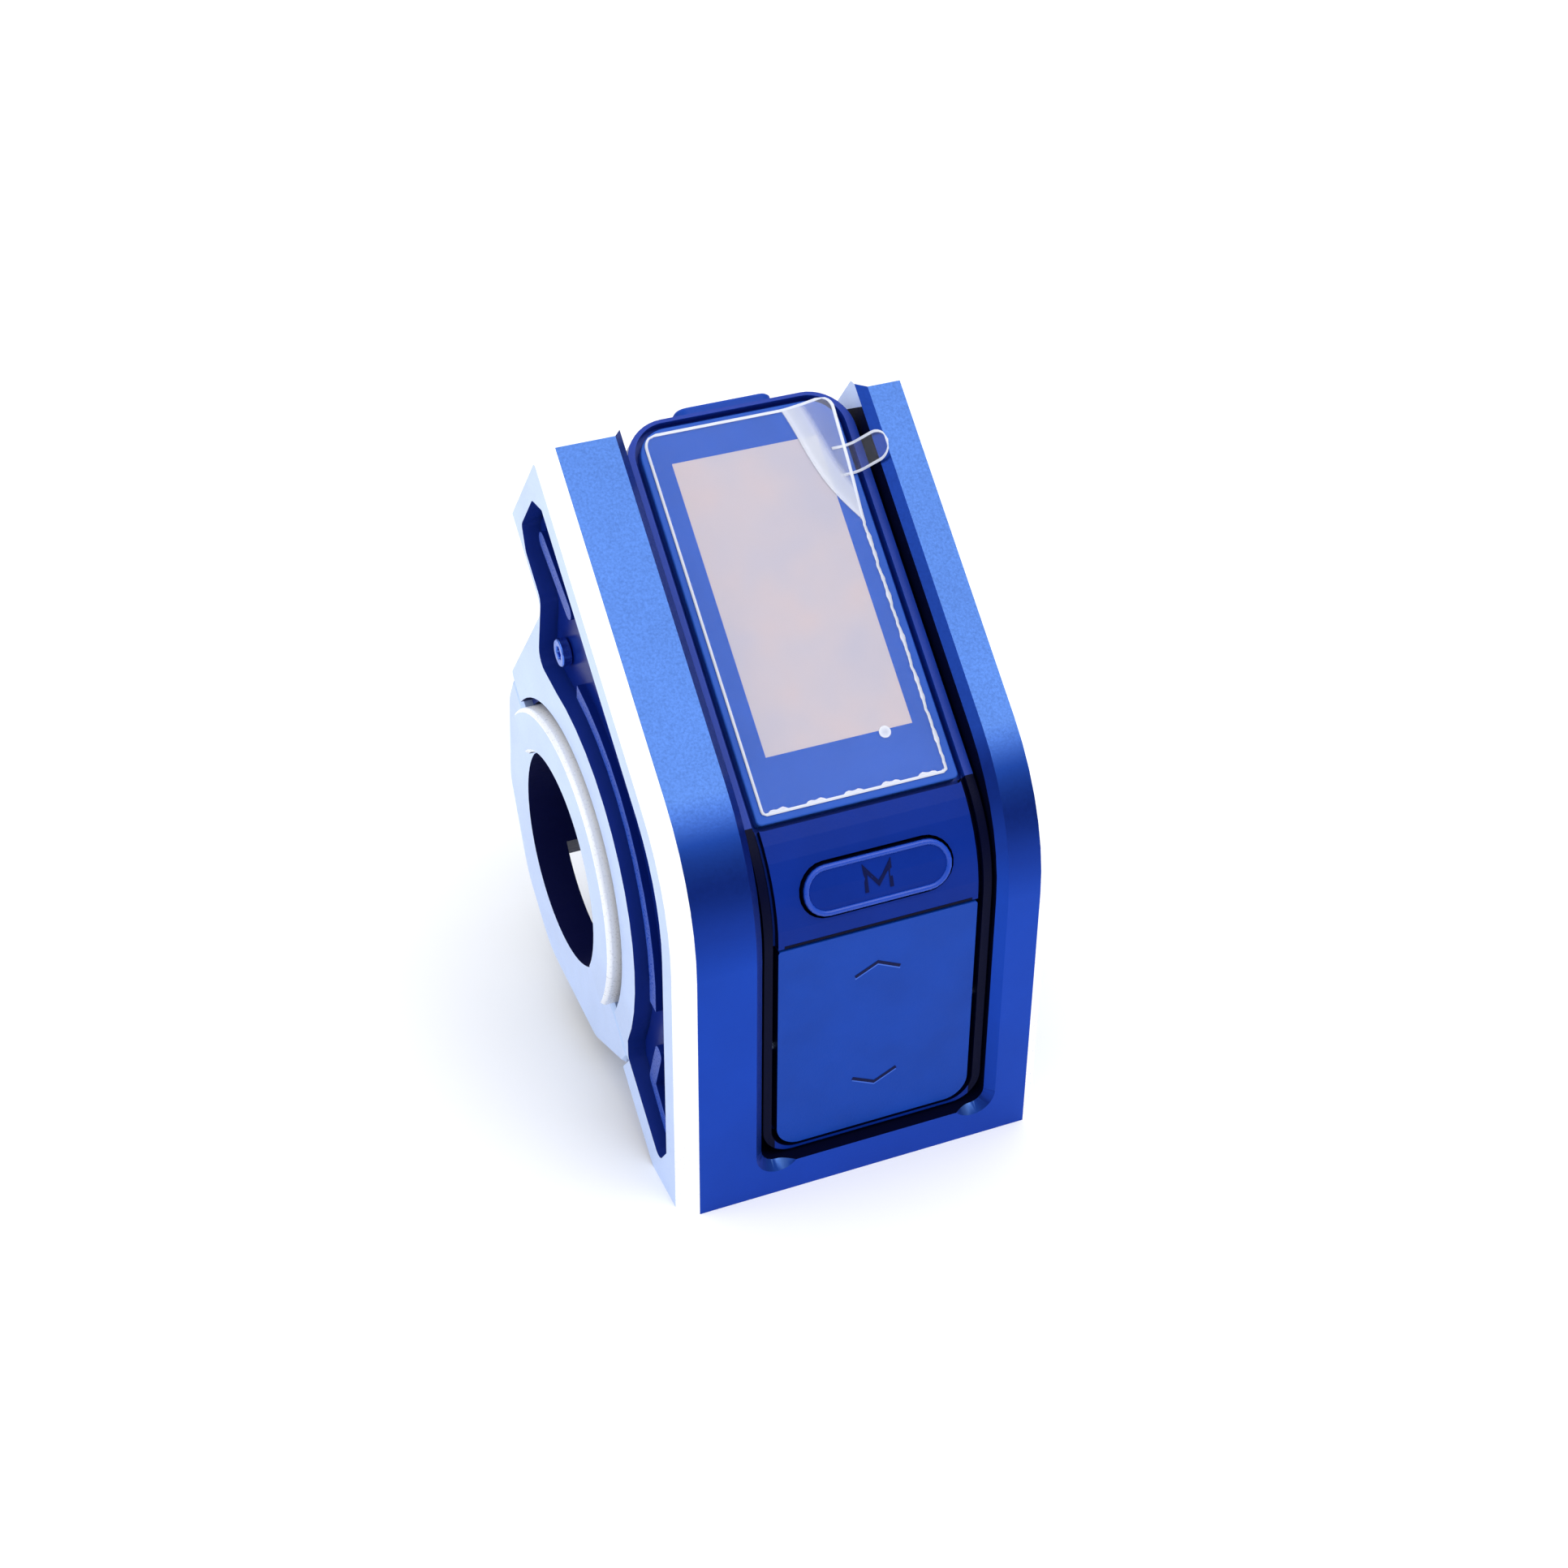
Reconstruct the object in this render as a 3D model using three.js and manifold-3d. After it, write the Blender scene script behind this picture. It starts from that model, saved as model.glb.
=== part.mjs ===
// Handlebar display and key unit of an electric bicycle: a small portrait display module with a mode
// key, an up/down rocker and a power key, held in a machined aluminium housing that clamps on a bar.
// Millimetres. Everything is laid out with the screen upright, +X along the bar, -Y out of the screen
// and the origin in the centre of the handlebar bore. The whole group is then tipped forward by the
// bend angle, so the rocker stands upright and the unit stands on its lower end, +Z up.
import * as THREE from 'three';
import { mergeVertices } from 'three/addons/utils/BufferGeometryUtils.js';
import Module from 'manifold-3d';

const wasm = await Module();
wasm.setup();

// ---------------------------------------------------------------- driving dimensions
const DEG = Math.PI / 180;
const GAP = 0.3; // air left between neighbouring pieces

// housing
const HALF_WIDTH = 19.1;
const FRONT_Y = -33.4; // plane of the upper rails
const TOP_Z = 31.65;
const BACK_Y = -19.25; // back of the upper part
const SHOULDER_Z = 19.7; // top of the clamp block
const APEX_Z = -13.8; // where the upper and the lower rail planes would meet
const BEND = 51.2 * DEG; // angle between the two rail planes
const BEND_RADIUS = 19.8;
const LOWER_LENGTH = 38.3; // lower rail plane, measured from the apex
const SIDE_BEVEL = 1.8;
const TOP_BEVEL = 1.45;
const TAIL_Y = 1.45; // back of the lower end

// handlebar clamp
const BAR_RADIUS = 11.1; // 22.2 mm handlebar
const SADDLE_RADIUS = 15.6;
const SADDLE_PROUD = 1.1;
const SEAT_RADIUS = SADDLE_RADIUS + GAP;
const GROOVE_RADIUS = 16.5;
const GROOVE_DEPTH = 1.2;
const SPLIT_Y = -1.3;
const CAP_BOTTOM_Z = -21.1;
const CAP_WALL = 3.4; // each side ring of the cap
const CAP_WINDOW = [-14, 4]; // z range of the opening in the back of the cap
const CLAMP_SCREW_X = 12.5;
const CLAMP_SCREW_Z = [17.8, -18.4];
const CLAMP_SEAT_Y = 0.2; // screw head seats in the cap
const CLAMP_TIP_Y = -9;

// module, held in the slot of the housing; depths are counted from its front surface
const MODULE_X = 1.25;
const MODULE_HALF = 11.5;
const MODULE_UPPER = 2.8; // how far the front surface sits below the upper rails
const MODULE_LOWER = 1.2; // and below the lower rails
const MODULE_RADIUS = 13;
const MODULE_DEPTH = 8.4;
const MODULE_TOP = 32.0;
const MODULE_END = 34.25; // along the lower plane
const MODULE_CORNER = 4.4;
const END_CORNER = 3;
const WALL = 1.3;
const FACE_WALL = 3.1;
const CASE_DEPTH = 6.2;
const COVER_START = 6.6;
const SLOT_SIDE = 0.35;
const SLOT_END = 34.7;
const SLOT_CHAMFER = 0.85;
const SLOT_CORNER = 1.5;

// display
const LENS_HALF = 10.1;
const LENS_TOP = 31.1;
const LENS_BOTTOM = -8.0;
const LENS_THICK = 1.2;
const PANEL_MARGIN = 1.4; // ledge of the case under the edge of the window
const PANEL_THICK = 1.3;
const FILM_LIFT = 0.05;
const FILM_THICK = 0.15;
const SCREEN_Z = 12.75; // middle of the picture area
const FRAME_GROOVE = 0.55; // between the rim of the case and what it frames

// keys
const KEY_ANGLE = 30.4 * DEG; // where the mode key sits on the bend of the module
const KEY_LENGTH = 14.9;
const KEY_HEIGHT = 4.9;
const KEY_PROUD = 0.3;
const FLANGE = 0.9;
const FLANGE_DEPTH = [3.3, 3.7];
const ROCKER_START = 9.45;
const ROCKER_END = 33.65;
const ROCKER_HALF = 10.1;
const ROCKER_THICK = 1.8;
const ROCKER_BED = 2.45;
const ROCKER_CENTRE = 21.6;
const PIN_RADIUS = 0.45;
const PIN_DEPTH = 1.4;
const PRESS_REACH = 9.2; // from the rocker's pin to each of its switches
const POWER_X = 1.55;
const POWER_HALF = 4.95;
const POWER_DEPTH = [2.2, 5.2];
const POWER_Z = [29.9, 33.6];

// electronics
const BOARD_DEPTH = [3.6, 4.6];
const BOARD_Z = [-5, 25.9];
const CIRCUIT_DEPTH = [5.0, 5.4];
const CIRCUIT_HALF = 7.2;
const SWITCH_HALF = 1.7;
const SWITCH_DEPTH = [4.3, 4.9];

// window in each cheek of the housing, with the moulded liner seen through it
const POCKET_OFFSET = 4.05; // from the rails' front surface
const POCKET_TOP = 27.9;
const POCKET_BACK = -19.9;
const POCKET_RING = 20;
const POCKET_END = 33.2;
const POCKET_DEPTH = 2.6;
const LINER_PLATE = 0.8;
const LINER_RIB = 1.6;
const LINER_SCREW = [-18.2, 15.6]; // y, z

// ---------------------------------------------------------------- finishes: colour, roughness, metalness
const ANODISED = [0x3f66c8, 0.32, 0.75];
const BRIGHT = [0xc5d8f6, 0.35, 0.7];
const PLASTIC = [0x2746a8, 0.5, 0];
const DARK = [0x101a4a, 0.4, 0];
const GLOSSY = [0x5c7ad0, 0.08, 0];
const FILM = [0xdde2f0, 0.15, 0];
const PICTURE = [0xd9ceda, 0.3, 0];
const BOARD = [0x1f5a46, 0.6, 0];
const STEEL = [0xb8c2d8, 0.3, 0.9];
const RUBBER = [0x14182c, 0.85, 0];

// ---------------------------------------------------------------- solids
const group = new THREE.Group();
group.rotation.x = -BEND;

function solid(geometry) {
  const bare = geometry.clone();
  bare.deleteAttribute('normal');
  bare.deleteAttribute('uv');
  const merged = mergeVertices(bare, 1e-4);
  return new wasm.Manifold(new wasm.Mesh({
    numProp: 3,
    vertProperties: Float32Array.from(merged.attributes.position.array),
    triVerts: Uint32Array.from(merged.index.array),
  }));
}

function addPart(name, manifold, [color, roughness, metalness]) {
  const { vertProperties, triVerts } = manifold.getMesh();
  const geometry = new THREE.BufferGeometry();
  geometry.setAttribute('position', new THREE.BufferAttribute(vertProperties, 3));
  geometry.setIndex(new THREE.BufferAttribute(triVerts, 1));
  geometry.computeVertexNormals();
  const mesh = new THREE.Mesh(geometry, new THREE.MeshStandardMaterial({ color, roughness, metalness }));
  mesh.name = name;
  group.add(mesh);
}

function union(...solids) {
  return solids.reduce((sum, next) => sum.add(next));
}

function cut(body, ...tools) {
  return tools.reduce((left, tool) => left.subtract(tool), body);
}

// A frame turns a flat outline (a, b) and the distance c along its extrusion into the object's axes.
function frame(aAxis, bAxis, cAxis, origin = [0, 0, 0]) {
  const [a, b, c] = [aAxis, bAxis, cAxis].map((axis) => new THREE.Vector3(...axis));
  return new THREE.Matrix4().makeBasis(a, b, c).setPosition(...origin);
}

const SIN = Math.sin(BEND);
const COS = Math.cos(BEND);
const MODULE_Y = FRONT_Y + MODULE_UPPER;
const SIDE = frame([0, 1, 0], [0, 0, 1], [1, 0, 0]); // outline (y, z) along x
const PLAN = frame([1, 0, 0], [0, 1, 0], [0, 0, 1]); // outline (x, y) along z
const UPPER = frame([1, 0, 0], [0, 0, 1], [0, -1, 0], [0, MODULE_Y, 0]); // (x, z) out of the screen
// outline (x, -s) out of the lower rails
const LOWER = frame([1, 0, 0], [0, -SIN, COS], [0, -COS, -SIN], [0, FRONT_Y, APEX_Z]);

function extrude(outline, place, from, to, bevel = 0) {
  const shape = new THREE.Shape(outline.map(([a, b]) => new THREE.Vector2(a, b)));
  const geometry = new THREE.ExtrudeGeometry(shape, {
    depth: to - from - 2 * bevel,
    bevelEnabled: bevel > 0,
    bevelThickness: bevel,
    bevelSize: bevel,
    bevelOffset: -bevel,
    bevelSegments: 1,
  });
  geometry.translate(0, 0, from + bevel);
  geometry.applyMatrix4(place);
  return solid(geometry);
}

function cylinder(radius, from, to, segments = 20, endRadius = radius) {
  const start = new THREE.Vector3(...from);
  const axis = new THREE.Vector3(...to).sub(start);
  const geometry = new THREE.CylinderGeometry(endRadius, radius, axis.length(), segments);
  geometry.translate(0, axis.length() / 2, 0);
  const turn = new THREE.Quaternion().setFromUnitVectors(new THREE.Vector3(0, 1, 0), axis.normalize());
  geometry.applyQuaternion(turn);
  geometry.translate(start.x, start.y, start.z);
  return solid(geometry);
}

// A screw from the middle of its head's top face, going along a unit direction, with a hexagon socket.
function screw(top, direction, [headRadius, headHeight], [shankRadius, shankLength]) {
  const at = (distance) => top.map((value, i) => value + direction[i] * distance);
  const head = cylinder(headRadius, at(0), at(headHeight));
  const shank = cylinder(shankRadius, at(headHeight - 0.1), at(headHeight + shankLength), 14);
  const socket = cylinder(headRadius * 0.5, at(-1), at(headHeight * 0.6), 6);
  return cut(union(head, shank), socket);
}

// ---------------------------------------------------------------- outlines
function arc(centre, radius, fromAngle, toAngle, step = 8 * DEG) {
  const steps = Math.max(2, Math.ceil(Math.abs(toAngle - fromAngle) / step));
  return Array.from({ length: steps + 1 }, (_, i) => {
    const angle = fromAngle + ((toAngle - fromAngle) * i) / steps;
    return [centre[0] + radius * Math.cos(angle), centre[1] + radius * Math.sin(angle)];
  });
}

// Corners at least this large are given finer steps.
const LARGE_CORNER = 2;

// A closed outline from corners [a, b, radius]; a corner without a radius stays sharp.
function rounded(corners) {
  return corners.flatMap(([a, b, radius = 0], i) => {
    if (radius === 0) {
      return [[a, b]];
    }
    const corner = new THREE.Vector2(a, b);
    const before = corners[(i + corners.length - 1) % corners.length];
    const after = corners[(i + 1) % corners.length];
    const toBefore = new THREE.Vector2(before[0], before[1]).sub(corner).normalize();
    const toAfter = new THREE.Vector2(after[0], after[1]).sub(corner).normalize();
    const half = Math.acos(toBefore.dot(toAfter)) / 2;
    const inward = toBefore.clone().add(toAfter).normalize();
    const centre = corner.clone().addScaledVector(inward, radius / Math.sin(half));
    const first = corner.clone().addScaledVector(toBefore, radius / Math.tan(half)).sub(centre);
    const last = corner.clone().addScaledVector(toAfter, radius / Math.tan(half)).sub(centre);
    const sweep = Math.atan2(first.cross(last), first.dot(last));
    const step = radius > LARGE_CORNER ? 9 * DEG : 20 * DEG;
    return arc([centre.x, centre.y], radius, first.angle(), first.angle() + sweep, step);
  });
}

function rectangle(a0, a1, b0, b1, radius = 0) {
  return rounded([[a0, b0, radius], [a1, b0, radius], [a1, b1, radius], [a0, b1, radius]]);
}

function stadium(length, height) {
  const reach = (length - height) / 2;
  const right = arc([reach, 0], height / 2, -90 * DEG, 90 * DEG, 15 * DEG);
  const left = arc([-reach, 0], height / 2, 90 * DEG, 270 * DEG, 15 * DEG);
  return [...right, ...left];
}

// A capsule-shaped outline around the straight line between two points.
function capsule(from, to, radius) {
  const angle = Math.atan2(to[1] - from[1], to[0] - from[0]);
  const end = arc(to, radius, angle - 90 * DEG, angle + 90 * DEG, 30 * DEG);
  const start = arc(from, radius, angle + 90 * DEG, angle + 270 * DEG, 30 * DEG);
  return [...end, ...start];
}

// Moves every edge of a closed counter-clockwise outline inwards by a distance.
function inset(outline, distance) {
  return outline.map((point, i) => {
    const here = new THREE.Vector2(...point);
    const before = new THREE.Vector2(...outline[(i + outline.length - 1) % outline.length]);
    const after = new THREE.Vector2(...outline[(i + 1) % outline.length]);
    const arrive = here.clone().sub(before).normalize();
    const leave = after.sub(here).normalize();
    const bisector = new THREE.Vector2(-arrive.y - leave.y, arrive.x + leave.x).normalize();
    const reach = distance / (-arrive.y * bisector.x + arrive.x * bisector.y);
    return [point[0] + bisector.x * reach, point[1] + bisector.y * reach];
  });
}

// Side view point on the lower plane: s from the apex towards the tail, sunk by depth.
function lowerPoint(s, depth) {
  return [FRONT_Y + SIN * s + COS * depth, APEX_Z - COS * s + SIN * depth];
}

function bendCentre(upperDepth, lowerDepth, radius) {
  const y = FRONT_Y + upperDepth;
  const foot = lowerPoint(0, lowerDepth);
  const apexZ = foot[1] - ((y - foot[0]) * COS) / SIN;
  return [y + radius, apexZ + radius * Math.tan(BEND / 2)];
}

// Side view of a bent surface from the top down to s = end, sunk by its two depths.
function bentLine(upperDepth, lowerDepth, radius, top, end) {
  const bend = arc(bendCentre(upperDepth, lowerDepth, radius), radius, Math.PI, Math.PI + BEND);
  return [[FRONT_Y + upperDepth, top], ...bend, lowerPoint(end, lowerDepth)];
}

function bentSlab(x0, x1, front, back, top, end, bevel = 0) {
  const outline = [...bentLine(...front, top, end), ...bentLine(...back, top, end).reverse()];
  return extrude(outline, SIDE, x0, x1, bevel);
}

// The bent surface that lies below the module's front surface by a depth.
function surfaceAt(depth) {
  return [MODULE_UPPER + depth, MODULE_LOWER + depth, MODULE_RADIUS - depth];
}

// A bent layer of the module between two depths, its corners rounded like the module's.
function layer(from, to, margin = 0) {
  const low = MODULE_X - MODULE_HALF + margin;
  const high = MODULE_X + MODULE_HALF - margin;
  const top = MODULE_TOP - margin;
  const end = MODULE_END - margin;
  const corner = MODULE_CORNER - margin;
  const slab = bentSlab(low, high, surfaceAt(from), surfaceAt(to), top, end);
  const upper = rounded([[low, -20], [high, -20], [high, top, corner], [low, top, corner]]);
  const foot = END_CORNER - margin;
  const lower = rounded([[low, -end, foot], [high, -end, foot], [high, -8], [low, -8]]);
  return slab.intersect(union(extrude(upper, UPPER, -15, 5), extrude(lower, LOWER, -16, 5)));
}

// A prism on the upper plane of the module, or on its lower plane, between two depths.
function onUpper(outline, from, to) {
  return extrude(outline, UPPER, -to, -from);
}

function onLower(outline, from, to) {
  return extrude(outline, LOWER, -MODULE_LOWER - to, -MODULE_LOWER - from);
}

// The point on the lower plane of the module at s, below its front surface by depth.
function lowerSpot(x, s, depth) {
  return [x, ...lowerPoint(s, MODULE_LOWER + depth)];
}

function pocketOutline() {
  const offset = POCKET_OFFSET;
  const back = FRONT_Y + offset;
  return [
    ...bentLine(offset, offset, BEND_RADIUS - offset, POCKET_TOP - 1.9, POCKET_END),
    ...rounded([[-4.8, -31.6], [-1.6, -31.5, 1.1], [-1.6, -21.0, 0.8], [-3.4, -19.8]]).slice(1, -1),
    ...arc([0, 0], POCKET_RING, 260.5 * DEG, 141 * DEG),
    ...rounded([
      [-15.5, 12.6],
      [-12.8, 17.0, 1.6],
      [POCKET_BACK, 20.6, 1.4],
      [POCKET_BACK, 25.6, 1.2],
      [-21.3, POCKET_TOP, 0.8],
      [back + 2.1, POCKET_TOP, 0.8],
      [back, POCKET_TOP - 2.1],
    ]).slice(1, -1),
  ];
}

// ---------------------------------------------------------------- housing and clamp
function frontBlock() {
  const far = 40;
  const outline = [
    [FRONT_Y + TOP_BEVEL, TOP_Z],
    ...bentLine(0, 0, BEND_RADIUS, TOP_Z - TOP_BEVEL, LOWER_LENGTH + far),
    [2 * far, -2 * far],
    [2 * far, TOP_Z],
  ];
  return extrude(outline, SIDE, -HALF_WIDTH, HALF_WIDTH, SIDE_BEVEL);
}

function housingOutline() {
  const ahead = 5;
  const tip = lowerPoint(LOWER_LENGTH, 0);
  const splitY = SPLIT_Y - GAP / 2;
  const seatZ = CAP_BOTTOM_Z - GAP;
  return rounded([
    [FRONT_Y - ahead, TOP_Z + 1],
    [FRONT_Y - ahead, APEX_Z],
    lowerPoint(LOWER_LENGTH, -ahead),
    [...lowerPoint(LOWER_LENGTH, (TAIL_Y - tip[0]) / COS), 0.8],
    [TAIL_Y, seatZ],
    [splitY, seatZ],
    [splitY, SHOULDER_Z, 0.5],
    [BACK_Y, SHOULDER_Z, 1.6],
    [BACK_Y, TOP_Z + 1],
  ]);
}

function slotCutter() {
  const low = MODULE_X - MODULE_HALF - SLOT_SIDE;
  const high = MODULE_X + MODULE_HALF + SLOT_SIDE;
  const floor = MODULE_DEPTH + SLOT_SIDE;
  const ahead = 3;
  const front = [-ahead, -ahead, BEND_RADIUS + ahead];
  const back = [MODULE_UPPER + floor, MODULE_LOWER + floor, MODULE_RADIUS - floor];
  const channel = bentSlab(low, high, front, back, TOP_Z + 5, SLOT_END - SLOT_CORNER);
  const foot = rectangle(low, high, -SLOT_END, 6 - SLOT_END, SLOT_CORNER);
  return union(channel, extrude(foot, LOWER, -MODULE_LOWER - floor, ahead));
}

// Chamfer along both edges of the slot, wrapped round the lower corners to run out on the end wall.
function slotChamfers() {
  const ahead = 2;
  const edge = MODULE_HALF + SLOT_SIDE;
  const turn = SLOT_END - SLOT_CORNER;
  const line = bentLine(0, 0, BEND_RADIUS, TOP_Z + 5, turn);
  return [-1, 1].flatMap((out) => {
    const x = MODULE_X + out * edge;
    const profile = [[x, -SLOT_CHAMFER], [x + out * (SLOT_CHAMFER + ahead), ahead], [x, ahead]];
    const strips = line.slice(1).map((point, i) => strip(profile, line[i], point));
    const spot = (depth) => [x - out * SLOT_CORNER, ...lowerPoint(turn, depth)];
    const wide = SLOT_CORNER + SLOT_CHAMFER + ahead;
    return [...strips, cylinder(SLOT_CORNER, spot(SLOT_CHAMFER), spot(-ahead), 32, wide)];
  });
}

// A straight prism of a profile (x, height above the rails) between two points of the side view.
function strip(profile, from, to) {
  const run = new THREE.Vector3(0, to[0] - from[0], to[1] - from[1]);
  const length = run.length();
  run.normalize();
  const out = new THREE.Vector3(0, run.z, -run.y);
  const place = new THREE.Matrix4().makeBasis(new THREE.Vector3(1, 0, 0), out, run);
  place.setPosition(0, ...from);
  return extrude(profile, place, -0.05, length + 0.05);
}

function clampScrewCentres() {
  return CLAMP_SCREW_Z.flatMap((z) => [-CLAMP_SCREW_X, CLAMP_SCREW_X].map((x) => [x, z]));
}

function moduleScrewCentres() {
  return [-5.5, 5.5].map((x) => [MODULE_X + x, 26]);
}

function housing() {
  const outside = HALF_WIDTH + 1;
  const block = frontBlock().intersect(extrude(housingOutline(), SIDE, -outside, outside));
  const tools = [slotCutter(), ...slotChamfers()];
  tools.push(cylinder(SEAT_RADIUS, [-outside, 0, 0], [outside, 0, 0], 72));
  [-1, 1].forEach((side) => {
    const face = side * HALF_WIDTH;
    tools.push(cylinder(GROOVE_RADIUS, [face - side * GROOVE_DEPTH, 0, 0], [face + side, 0, 0], 72));
    const ends = [face - side * POCKET_DEPTH, face + side].sort((a, b) => a - b);
    tools.push(extrude(pocketOutline(), SIDE, ...ends));
    tools.push(cylinder(0.95, [face - side * 7, ...LINER_SCREW], [face, ...LINER_SCREW], 14));
  });
  clampScrewCentres().forEach(([x, z]) => {
    tools.push(cylinder(1.25, [x, CLAMP_TIP_Y - 0.5, z], [x, 1, z], 14));
  });
  moduleScrewCentres().forEach(([x, z]) => {
    tools.push(cylinder(1, [x, -23, z], [x, BACK_Y + 1, z], 14));
    tools.push(cylinder(2, [x, BACK_Y - 1.3, z], [x, BACK_Y + 1, z]));
  });
  return cut(block, ...tools);
}

function clampCap() {
  const splitY = SPLIT_Y + GAP / 2;
  const outline = rounded([
    [splitY, CAP_BOTTOM_Z],
    [1.4, CAP_BOTTOM_Z, 0.8],
    [8.9, -17.0, 3],
    [16.7, -5.4, 8],
    [16.7, 3.2, 8],
    [11.9, 12.8, 4],
    [2.8, 18.6, 4],
    [splitY, 19.3, 0.5],
  ]);
  const opening = HALF_WIDTH - CAP_WALL;
  const tools = [
    cylinder(BAR_RADIUS, [-30, 0, 0], [30, 0, 0], 72),
    extrude(rectangle(3, 25, ...CAP_WINDOW), SIDE, -opening, opening),
  ];
  clampScrewCentres().forEach(([x, z]) => {
    tools.push(cylinder(1.15, [x, -5, z], [x, 20, z], 14));
    tools.push(cylinder(2.2, [x, CLAMP_SEAT_Y, z], [x, 20, z]));
  });
  return cut(extrude(outline, SIDE, -HALF_WIDTH, HALF_WIDTH, 0.4), ...tools);
}

function clampSaddle() {
  const reach = HALF_WIDTH + SADDLE_PROUD;
  const edge = 0.35;
  const profile = [
    [BAR_RADIUS + edge, -reach],
    [SADDLE_RADIUS - edge, -reach],
    [SADDLE_RADIUS, edge - reach],
    [SADDLE_RADIUS, reach - edge],
    [SADDLE_RADIUS - edge, reach],
    [BAR_RADIUS + edge, reach],
    [BAR_RADIUS, reach - edge],
    [BAR_RADIUS, edge - reach],
    [BAR_RADIUS + edge, -reach],
  ];
  const ring = new THREE.LatheGeometry(profile.map(([r, x]) => new THREE.Vector2(r, x)), 72);
  ring.rotateZ(-90 * DEG);
  const half = extrude(rectangle(-20, SPLIT_Y - GAP / 2, -20, 20), SIDE, -25, 25);
  return solid(ring).intersect(half);
}

// ---------------------------------------------------------------- cheek liners
function sideLiner(side) {
  const floor = HALF_WIDTH - POCKET_DEPTH + 0.1;
  const place = (outline, from, to) => {
    const [near, far] = [side * from, side * to].sort((a, b) => a - b);
    return extrude(outline, SIDE, near, far);
  };
  const plate = place(inset(pocketOutline(), GAP), floor, floor + LINER_PLATE);
  const top = floor + LINER_RIB;
  const curve = [
    ...arc([0, 0], 23.2, 150 * DEG, 236 * DEG),
    ...arc([0, 0], 21.6, 236 * DEG, 150 * DEG),
  ];
  const ribs = [
    capsule([-24.6, 17.5], [-23.2, 25.2], 0.9),
    curve,
    capsule([-9.4, -22.6], [-4.6, -24.2], 0.8),
    capsule([-4.6, -24.2], [-4.2, -29.0], 0.8),
  ].map((outline) => place(outline, floor + 0.2, top));
  const hole = cylinder(0.95, [0, ...LINER_SCREW], [side * 25, ...LINER_SCREW], 14);
  return cut(union(plate, ...ribs), hole);
}

function linerScrew(side) {
  const top = [side * (HALF_WIDTH - POCKET_DEPTH + 0.1 + LINER_PLATE + 1.1), ...LINER_SCREW];
  return screw(top, [-side, 0, 0], [1.4, 1.0], [0.7, 4.5]);
}

// ---------------------------------------------------------------- module
const [BEND_Y, BEND_Z] = bendCentre(MODULE_UPPER, MODULE_LOWER, MODULE_RADIUS);
const KEY_SIN = Math.sin(KEY_ANGLE);
const KEY_COS = Math.cos(KEY_ANGLE);
const KEY_POINT = [MODULE_X, BEND_Y - MODULE_RADIUS * KEY_COS, BEND_Z - MODULE_RADIUS * KEY_SIN];
// out of the mode key
const KEY = frame([1, 0, 0], [0, -KEY_SIN, KEY_COS], [0, -KEY_COS, -KEY_SIN], KEY_POINT);

const CASE_SCREW_X = 8.9;
const CASE_SCREWS = [-1, 1].flatMap((side) => {
  const x = MODULE_X + side * CASE_SCREW_X;
  return [(depth) => [x, MODULE_Y + depth, 27.6], (depth) => lowerSpot(x, 31, depth)];
});

function lensOutline(margin) {
  const low = MODULE_X - LENS_HALF + margin;
  const high = MODULE_X + LENS_HALF - margin;
  const top = LENS_TOP - margin;
  const bottom = LENS_BOTTOM + margin;
  return rounded([[low, bottom, 0.5], [high, bottom, 0.5], [high, top, 3], [low, top, 3]]);
}

function pressSpots() {
  return [ROCKER_CENTRE - PRESS_REACH, ROCKER_CENTRE + PRESS_REACH];
}

function moduleCase() {
  const shell = cut(layer(0, CASE_DEPTH), layer(FACE_WALL, CASE_DEPTH + 2, WALL));
  const bosses = CASE_SCREWS.map((spot) => cylinder(1.5, spot(FACE_WALL - 0.2), spot(CASE_DEPTH), 16));
  const side = LENS_HALF + FRAME_GROOVE;
  const groove = [-1, 1].map((out) => {
    const [near, far] = [MODULE_X + out * LENS_HALF, MODULE_X + out * side].sort((a, b) => a - b);
    return bentSlab(near, far, surfaceAt(-0.8), surfaceAt(0.8), SCREEN_Z, ROCKER_START);
  });
  const bed = rounded([
    [MODULE_X - side, -ROCKER_END - GAP, 2.6],
    [MODULE_X + side, -ROCKER_END - GAP, 2.6],
    [MODULE_X + side, GAP - ROCKER_START],
    [MODULE_X - side, GAP - ROCKER_START],
  ]);
  const tools = [
    ...groove,
    onUpper(inset(lensOutline(0), -FRAME_GROOVE), -2, LENS_THICK + 0.1),
    onUpper(lensOutline(PANEL_MARGIN - 0.4), 0, FACE_WALL + 1),
    extrude(stadium(KEY_LENGTH + 2 * GAP, KEY_HEIGHT + 2 * GAP), KEY, -FACE_WALL - 1, 2),
    onLower(bed, -2, ROCKER_BED),
    ...pressSpots().map((s) => cylinder(1.8, lowerSpot(MODULE_X, s, 1), lowerSpot(MODULE_X, s, 4))),
    ...CASE_SCREWS.map((spot) => cylinder(0.8, spot(FACE_WALL + 0.7), spot(CASE_DEPTH + 1), 12)),
    rockerPin(0.15, 0.1),
    extrude(powerOutline(GAP), PLAN, MODULE_TOP - WALL - 1, MODULE_TOP + 2),
  ];
  return cut(union(shell, ...bosses), ...tools);
}

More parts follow.
